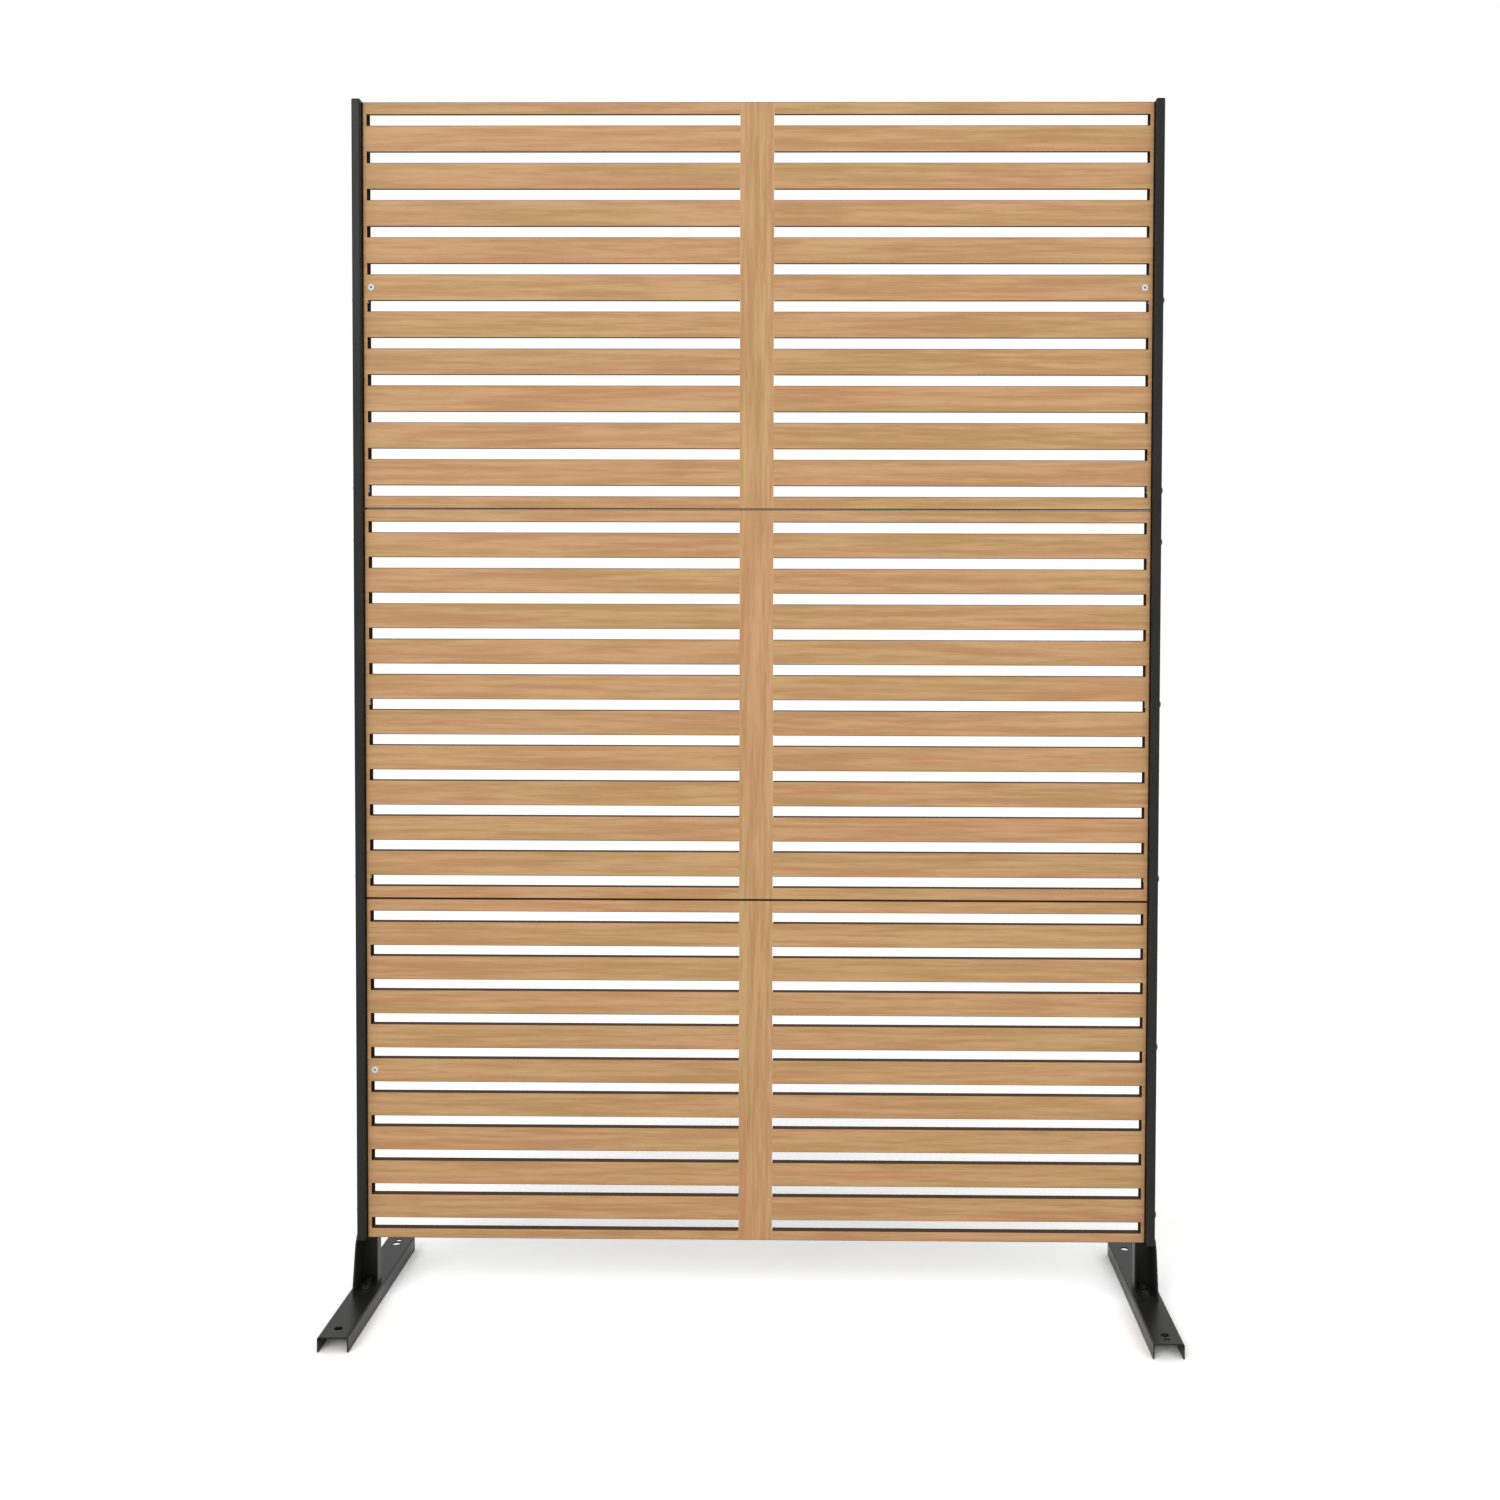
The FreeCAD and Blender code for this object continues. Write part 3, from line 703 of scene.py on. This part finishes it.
def hexagon(name: str, flats: float, low: float, high: float) -> bpy.types.Object:
    """Model a six-sided bar with two of its corners on the X axis.

    Args:
        name: The piece's name.
        flats: Width across the flats.
        low: Height of its lower end.
        high: Height of its upper end.

    Returns:
        The bar.
    """
    bpy.ops.mesh.primitive_cylinder_add(
        vertices=6, radius=corner_radius(flats), depth=high - low,
        location=(0, 0, (low + high) / 2), rotation=(0, 0, math.pi / 2))
    piece = bpy.context.object
    piece.name = name
    bpy.ops.object.transform_apply(location=True, rotation=True)
    return piece


def combine(piece: bpy.types.Object, tool: bpy.types.Object, operation: str) -> None:
    """Join a tool to a piece, or cut it with the tool, and delete the tool.

    Args:
        piece: The piece that stays.
        tool: The other piece.
        operation: UNION, DIFFERENCE or INTERSECT.
    """
    activate(piece)
    modifier = piece.modifiers.new("combine", "BOOLEAN")
    modifier.operation = operation
    modifier.object = tool
    modifier.solver = "EXACT"
    bpy.ops.object.modifier_apply(modifier=modifier.name)
    bpy.data.objects.remove(tool)


def quarter_round(middle: tuple[float, float], radius: float, steps: int) -> Profile:
    """Return the points of a quarter round in a profile, from outside to the top.

    Args:
        middle: Radius and height of the round's centre.
        radius: The round's own radius.
        steps: Number of straight runs.

    Returns:
        Radius and height of each point.
    """
    angles = [math.radians(90 * index / steps) for index in range(steps + 1)]
    return [(middle[0] + radius * math.cos(angle), middle[1] + radius * math.sin(angle))
            for angle in angles]


def thread(radius: float, low: float, high: float, pitch: float) -> Profile:
    """Return the profile of a threaded shank, from a chamfered end up.

    Args:
        radius: Radius over the crests.
        low: Height of the shank's end.
        high: Height where the thread stops.
        pitch: Distance from crest to crest.

    Returns:
        Radius and height of each ring.
    """
    root = radius - THREAD_DEPTH * pitch
    rings = [(root, low), (radius, low + pitch * THREAD_CHAMFER)]
    height = low + pitch * THREAD_START
    while height + pitch / 2 < high:
        rings += [(root, height), (radius, height + pitch / 2)]
        height += pitch
    return rings


# ---- fasteners ------------------------------------------------------------------------

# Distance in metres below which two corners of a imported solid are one, and the number of
# decimals of a metre that put the solids of a node in order.
WELD = 1e-6
ORDER_DECIMALS = 5


def solid_boxes(node: str) -> list[tuple[Vector, Vector]]:
    """Find the boxes of a node's separate solids.

    Args:
        node: The node's name.

    Returns:
        The lowest and highest corner of each solid, from the lowest solid up.
    """
    mesh = bmesh.new()
    mesh.from_mesh(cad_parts[node].data)
    bmesh.ops.remove_doubles(mesh, verts=mesh.verts, dist=WELD)
    left = set(mesh.verts)
    boxes = []
    while left:
        front = [left.pop()]
        places = []
        while front:
            vertex = front.pop()
            places.append(vertex.co.copy())
            for edge in vertex.link_edges:
                other = edge.other_vert(vertex)
                if other in left:
                    left.remove(other)
                    front.append(other)
        boxes.append(tuple(Vector([limit(place[axis] for place in places)
                                   for axis in range(3)]) for limit in (min, max)))
    mesh.free()
    return sorted(boxes, key=lambda box: [round(box[0][axis], ORDER_DECIMALS)
                                          for axis in (2, 1, 0)])


@dataclass
class Fastener(ABC):
    """A fastener that is modelled once and copied to each solid of the nodes it replaces."""

    name: str
    plural: str
    slot: str

    @abstractmethod
    def model(self) -> bpy.types.Object:
        """Model the fastener on the Z axis, in millimetres, with its seat at zero."""

    @abstractmethod
    def top(self) -> float:
        """Return the height of the fastener's highest point above its seat."""

    def placing(self, box: tuple[Vector, Vector], facing: Facing) -> Matrix:
        """Find where a copy goes, so that its highest point meets the solid's.

        Args:
            box: The lowest and highest corner of the solid that it replaces.
            facing: The way that its head points.

        Returns:
            The matrix from millimetres on the Z axis to metres in place.
        """
        low, high = box
        heading = Vector(facing.value)
        middle = (low + high) / 2
        reach = max(heading.dot(low), heading.dot(high)) - heading.dot(middle)
        seat = middle + heading * (reach - self.top() * MM)
        return Matrix.Translation(seat) @ facing.matrix() @ Matrix.Scale(MM, 4)

    def fit(self, nodes: dict[str, Facing], finishes: dict[str, Material]) -> None:
        """Put a copy in the place of each separate solid of some nodes.

        Args:
            nodes: The nodes to replace, and the way that their heads point.
            finishes: The materials by slot name.
        """
        master = self.model()
        activate(master)
        bpy.ops.object.shade_smooth_by_angle(angle=SMOOTH_ANGLE)
        for node, facing in nodes.items():
            for index, box in enumerate(solid_boxes(node), start=1):
                piece = master.copy()
                piece.data = master.data.copy()
                piece.name = f"{node.replace(self.plural, self.name)}_{index}"
                piece.data.transform(self.placing(box, facing))
                piece.data.materials.clear()
                piece.data.materials.append(finishes[self.slot])
                bpy.context.scene.collection.objects.link(piece)
                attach(piece, BODY)
                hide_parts(node)
                LOG.info("made %s", piece.name)
        bpy.data.objects.remove(master)


@dataclass
class PanScrew(Fastener):
    """A pan-head screw with a hexagon socket and a threaded shank."""

    length: float
    neck: float = 2.0
    shank_radius: float = 3.0
    head_radius: float = 6.0
    head_height: float = 4.6
    head_chamfer: float = 0.3
    rim_height: float = 0.9
    dome_steps: int = 8
    socket_flats: float = 4.0
    socket_depth: float = 2.5
    pitch: float = 1.0

    def top(self) -> float:
        """Return the head's height."""
        return self.head_height

    def model(self) -> bpy.types.Object:
        """Model head, socket and shank.

        Returns:
            The screw.
        """
        dome = self.head_height - self.rim_height
        shank = thread(self.shank_radius, -self.length, -self.neck, self.pitch)
        seat = [(self.shank_radius, -HAIR), (self.head_radius - self.head_chamfer, 0),
                (self.head_radius, self.head_chamfer)]
        crown = quarter_round((self.head_radius - dome, self.rim_height), dome,
                              self.dome_steps)
        piece = turned(self.name, BORE_SIDES, shank + seat + crown)
        socket = hexagon("socket", self.socket_flats, self.head_height - self.socket_depth,
                         self.head_height + CLEAR_CUT)
        combine(piece, socket, "DIFFERENCE")
        return piece


@dataclass
class HexNut(Fastener):
    """A hexagon nut with chamfered corners and a countersunk bore."""

    flats: float = 10.0
    height: float = 5.0
    bore_radius: float = 3.0
    face_share: float = 0.97
    corner_drop: float = 0.55
    countersink: float = 0.35

    def top(self) -> float:
        """Return the nut's height."""
        return self.height

    def model(self) -> bpy.types.Object:
        """Model the hexagon, chamfer its corners and bore it.

        Returns:
            The nut.
        """
        piece = hexagon(self.name, self.flats, 0, self.height)
        face = self.flats / 2 * self.face_share
        corner = corner_radius(self.flats) + CORNER_SPARE
        rounding = turned("rounding", FINE_SIDES, [
            (face, -HAIR), (corner, self.corner_drop),
            (corner, self.height - self.corner_drop), (face, self.height + HAIR)])
        combine(piece, rounding, "INTERSECT")
        sink = self.bore_radius + self.countersink
        bore = turned("bore", BORE_SIDES, [
            (sink, -OVERCUT), (self.bore_radius, self.countersink),
            (self.bore_radius, self.height - self.countersink),
            (sink, self.height + OVERCUT)])
        combine(piece, bore, "DIFFERENCE")
        return piece


@dataclass
class HexBolt(Fastener):
    """A hexagon bolt with a washer face and a threaded shank."""

    length: float = 12.6
    neck: float = 1.0
    flats: float = 10.0
    head_height: float = 4.0
    washer_face: float = 0.15
    face_share: float = 0.95
    corner_drop: float = 0.55
    shank_radius: float = 3.0
    shank_bite: float = 0.5
    pitch: float = 1.0

    def top(self) -> float:
        """Return the head's height."""
        return self.head_height

    def model(self) -> bpy.types.Object:
        """Model head and shank, which meet inside the head.

        Returns:
            The bolt.
        """
        piece = hexagon(self.name, self.flats, self.washer_face, self.head_height)
        face = self.flats / 2 * self.face_share
        corner = corner_radius(self.flats) + CORNER_SPARE
        rounding = turned("rounding", FINE_SIDES, [
            (corner, 0), (corner, self.head_height - self.corner_drop),
            (face, self.head_height + HAIR)])
        combine(piece, rounding, "INTERSECT")
        seat = [(self.shank_radius, 0), (face, 0), (face, self.shank_bite)]
        shank = turned("shank", BORE_SIDES, thread(
            self.shank_radius, -self.length, -self.neck, self.pitch) + seat)
        combine(piece, shank, "UNION")
        return piece


@dataclass
class Washer(Fastener):
    """A flat washer with slightly rounded rims."""

    radius: float = 6.25
    hole_radius: float = 3.3
    thickness: float = 1.6
    rim: float = 0.2
    rim_segments: int = 2

    def top(self) -> float:
        """Return the washer's thickness."""
        return self.thickness

    def model(self) -> bpy.types.Object:
        """Model the disc, open its hole and round its rims.

        Returns:
            The washer.
        """
        piece = turned(self.name, FINE_SIDES, [(self.radius, 0),
                                               (self.radius, self.thickness)])
        with editing(piece):
            pick(piece, "FACE", is_level)
            bpy.ops.mesh.inset(thickness=self.radius - self.hole_radius,
                               use_individual=True)
            bpy.ops.mesh.bridge_edge_loops()
        with editing(piece):
            pick(piece, "EDGE", is_rim)
            bpy.ops.mesh.bevel(offset=self.rim, segments=self.rim_segments,
                               affect="EDGES")
        return piece


@dataclass
class RivetCollar(Fastener):
    """The collar of a push-in rivet: a domed ring with a split shank."""

    sides: int = 40
    collar_radius: float = 5.3
    crown_radius: float = 4.1
    crown_steps: int = 5
    collar_height: float = 1.6
    shank_radius: float = 2.5
    length: float = 7.0
    taper: float = 0.4
    taper_length: float = 0.8
    pin_radius: float = 1.5
    dish_radius: float = 2.3
    dish_start: float = 0.7
    split_width: float = 0.6
    split_start: float = 1.6

    def top(self) -> float:
        """Return the collar's height."""
        return self.collar_height

    def model(self) -> bpy.types.Object:
        """Model the ring, bore it for the pin and split its shank in four.

        Returns:
            The collar.
        """
        round_off = self.collar_radius - self.crown_radius
        shank = [(self.shank_radius - self.taper, -self.length),
                 (self.shank_radius, self.taper_length - self.length),
                 (self.shank_radius, 0), (self.collar_radius, 0)]
        crown = quarter_round((self.crown_radius, self.collar_height - round_off),
                              round_off, self.crown_steps)
        piece = turned(self.name, self.sides, shank + crown)
        bore = turned("bore", BORE_SIDES, [
            (self.pin_radius, -self.length - CLEAR_CUT), (self.pin_radius, self.dish_start),
            (self.dish_radius, self.collar_height + OVERCUT)])
        combine(piece, bore, "DIFFERENCE")
        across = 3 * self.shank_radius
        for size in ((self.split_width, across), (across, self.split_width)):
            bpy.ops.mesh.primitive_cube_add(
                size=1, location=(0, 0, -self.split_start - self.length / 2),
                scale=(*size, self.length))
            bpy.ops.object.transform_apply(location=True, scale=True)
            combine(piece, bpy.context.object, "DIFFERENCE")
        return piece


@dataclass
class RivetPin(Fastener):
    """The drive pin of a push-in rivet, with a dimpled end."""

    sides: int = 32
    radius: float = 1.5
    length: float = 7.0
    rise: float = 0.8
    taper: float = 0.4
    taper_length: float = 0.6
    rim: float = 0.2
    dimple_radius: float = 0.8
    dimple_depth: float = 0.4

    def top(self) -> float:
        """Return how far the pin stands above its seat."""
        return self.rise

    def model(self) -> bpy.types.Object:
        """Model the pin from its tapered tip to the dimple in its end.

        Returns:
            The pin.
        """
        return turned(self.name, self.sides, [
            (self.radius - self.taper, -self.length),
            (self.radius, self.taper_length - self.length),
            (self.radius, self.rise - self.rim), (self.radius - self.rim, self.rise),
            (self.dimple_radius, self.rise),
            (self.dimple_radius - self.rim, self.rise - self.dimple_depth)])


# ---- sub-assemblies -------------------------------------------------------------------


@dataclass
class SubAssembly(ABC):
    """Nodes that are dressed together, with the fasteners that hold them."""

    finishes: dict[str, Material]

    @abstractmethod
    def build(self) -> None:
        """Dress the nodes and fit their fasteners."""


@dataclass
class Panels(SubAssembly):
    """The three folded panels and the push-in rivets in the ends of two slats."""

    def build(self) -> None:
        """Dress the panels and fit their rivets."""
        for name in PANEL_NAMES:
            dress(f"panel_{name}", self.finishes["wood_grain_steel"])
        RivetCollar("collar", "collars", "white_nylon").fit(
            {"rivet_collars_top": Facing.FRONT, "rivet_collar_bottom": Facing.FRONT},
            self.finishes)
        RivetPin("pin", "pins", "grey_pin").fit(
            {"rivet_pins_top": Facing.FRONT, "rivet_pin_bottom": Facing.FRONT},
            self.finishes)


@dataclass
class Posts(SubAssembly):
    """The two posts, their caps, and the screws that hold the panels to them."""

    screw_length: float = 19.8

    def build(self) -> None:
        """Dress the posts and caps and fit the side screws and nuts."""
        for side in SIDES:
            dress(f"post_{side}", self.finishes["black_powder_coat"])
            dress(f"post_cap_{side}", self.finishes["black_plastic"])
        facings = dict(zip(SIDES, (Facing.LEFT, Facing.RIGHT)))
        places = [(panel, side) for panel in PANEL_NAMES for side in SIDES]
        PanScrew("screw", "screws", "black_hardware", length=self.screw_length).fit(
            {f"side_screws_{panel}_{side}": facings[side] for panel, side in places},
            self.finishes)
        HexNut("nut", "nuts", "zinc_hardware").fit(
            {f"side_nuts_{panel}_{side}": facings[side] for panel, side in places},
            self.finishes)


@dataclass
class Stands(SubAssembly):
    """The brackets and feet with their screws, bolts, washers and nuts."""

    bracket_screw_length: float = 12.0

    def build(self) -> None:
        """Dress the brackets and feet and fit their fasteners."""
        for side in SIDES:
            dress(f"bracket_{side}", self.finishes["black_powder_coat"])
            dress(f"foot_{side}", self.finishes["black_powder_coat"])
        fasteners = (
            (PanScrew("screw", "screws", "black_hardware",
                      length=self.bracket_screw_length), "bracket_screws", Facing.BACK),
            (HexBolt("bolt", "bolts", "black_hardware"), "foot_bolts", Facing.UP),
            (Washer("washer", "washers", "black_hardware"), "foot_washers", Facing.UP),
            (HexNut("nut", "nuts", "zinc_hardware"), "foot_nuts", Facing.UP))
        for fastener, node, facing in fasteners:
            fastener.fit({f"{node}_{side}": facing for side in SIDES}, self.finishes)


# ---- studio ---------------------------------------------------------------------------


@dataclass(frozen=True)
class Lamp:
    """A square soft lamp, with its sides in metres and its power in watts."""

    name: str
    place: Triple
    target: Triple
    side: float
    power: float

    def build(self) -> None:
        """Hang the lamp in its place and turn it to its target."""
        data = bpy.data.lights.new(self.name, "AREA")
        data.size = self.side
        data.energy = self.power
        lamp = bpy.data.objects.new(self.name, data)
        bpy.context.scene.collection.objects.link(lamp)
        lamp.location = self.place
        direction = Vector(self.target) - Vector(self.place)
        lamp.rotation_mode = "QUATERNION"
        lamp.rotation_quaternion = direction.to_track_quat("-Z", "Y")


@dataclass
class Studio:
    """Pale floor, soft light and the photograph's camera."""

    image_side: float = 1500.0
    focal_pixels: float = 1512.8
    axis_pixel: tuple[float, float] = (811.0, 654.6)
    eye: Triple = (0.1076, -2.303, 1.058)
    yaw: float = 0.615
    pitch: float = -1.547
    roll: float = 0.166
    sensor: float = 36.0
    sight: Range = (0.05, 100.0)
    floor_sides: int = 64
    floor_radius: float = 60.0
    floor_drop: float = 0.2 * MM
    floor_tone: float = 0.80
    floor_gain: float = 1.65
    ambient: float = 0.62
    lamps: tuple[Lamp, ...] = (
        Lamp("key", place=(-2.2, -4.6, 3.4), target=(0, 0, 0.8), side=2.4, power=74),
        Lamp("fill", place=(2.6, -3.0, 2.2), target=(0, 0, 0.9), side=2.6, power=24))

    def camera(self) -> None:
        """Place the camera that the photograph was taken with."""
        data = bpy.data.cameras.new("camera")
        data.sensor_width = self.sensor
        data.lens = self.focal_pixels / self.image_side * self.sensor
        half = self.image_side / 2
        data.shift_x = (half - self.axis_pixel[0]) / self.image_side
        data.shift_y = (self.axis_pixel[1] - half) / self.image_side
        data.clip_start, data.clip_end = self.sight
        camera = bpy.data.objects.new("camera", data)
        bpy.context.scene.collection.objects.link(camera)
        turn = (Matrix.Rotation(math.radians(self.yaw), 4, "Z")
                @ Matrix.Rotation(math.radians(90 + self.pitch), 4, "X")
                @ Matrix.Rotation(math.radians(self.roll), 4, "Z"))
        camera.matrix_world = Matrix.Translation(self.eye) @ turn
        bpy.context.scene.camera = camera

    def floor(self) -> None:
        """Lay a wide pale floor that looks white to the camera and keeps the shadow."""
        bpy.ops.mesh.primitive_circle_add(vertices=self.floor_sides,
                                          radius=self.floor_radius, fill_type="NGON",
                                          location=(0, 0, -self.floor_drop))
        floor = bpy.context.object
        floor.name = "floor"
        material = bpy.data.materials.new("Pale floor")
        material.use_nodes = True
        g = Graph(material.node_tree)
        g.tree.nodes.remove(g.tree.nodes["Principled BSDF"])
        tone = g.remap(g.seen(), (0, 1), (self.floor_tone, self.floor_gain))
        colour = g.add("CombineColor", Red=tone, Green=tone, Blue=tone).outputs["Color"]
        matt = g.add("BsdfDiffuse", Color=colour)
        g.fill(g.tree.nodes["Material Output"], Surface=matt.outputs["BSDF"])
        floor.data.materials.append(material)

    def world(self) -> None:
        """Fill the surroundings with soft light, white where the camera looks at them."""
        world = bpy.data.worlds.new("Studio")
        bpy.context.scene.world = world
        world.use_nodes = True
        g = Graph(world.node_tree)
        g.fill(g.tree.nodes["Background"], Color=WHITE,
               Strength=g.remap(g.seen(), (0, 1), (self.ambient, 1)))

    def build(self) -> None:
        """Set up floor, world, lamps and camera."""
        bpy.context.scene.view_settings.view_transform = "Standard"
        self.floor()
        self.world()
        for lamp in self.lamps:
            lamp.build()
        self.camera()


def main() -> None:
    """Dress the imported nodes, model the details and set up the studio."""
    logging.basicConfig(level=logging.INFO)
    finishes = make_finishes()
    for assembly in (Panels(finishes), Posts(finishes), Stands(finishes)):
        assembly.build()
        LOG.info("%s done", type(assembly).__name__)
    Studio().build()


if __name__ == "__main__":
    main()
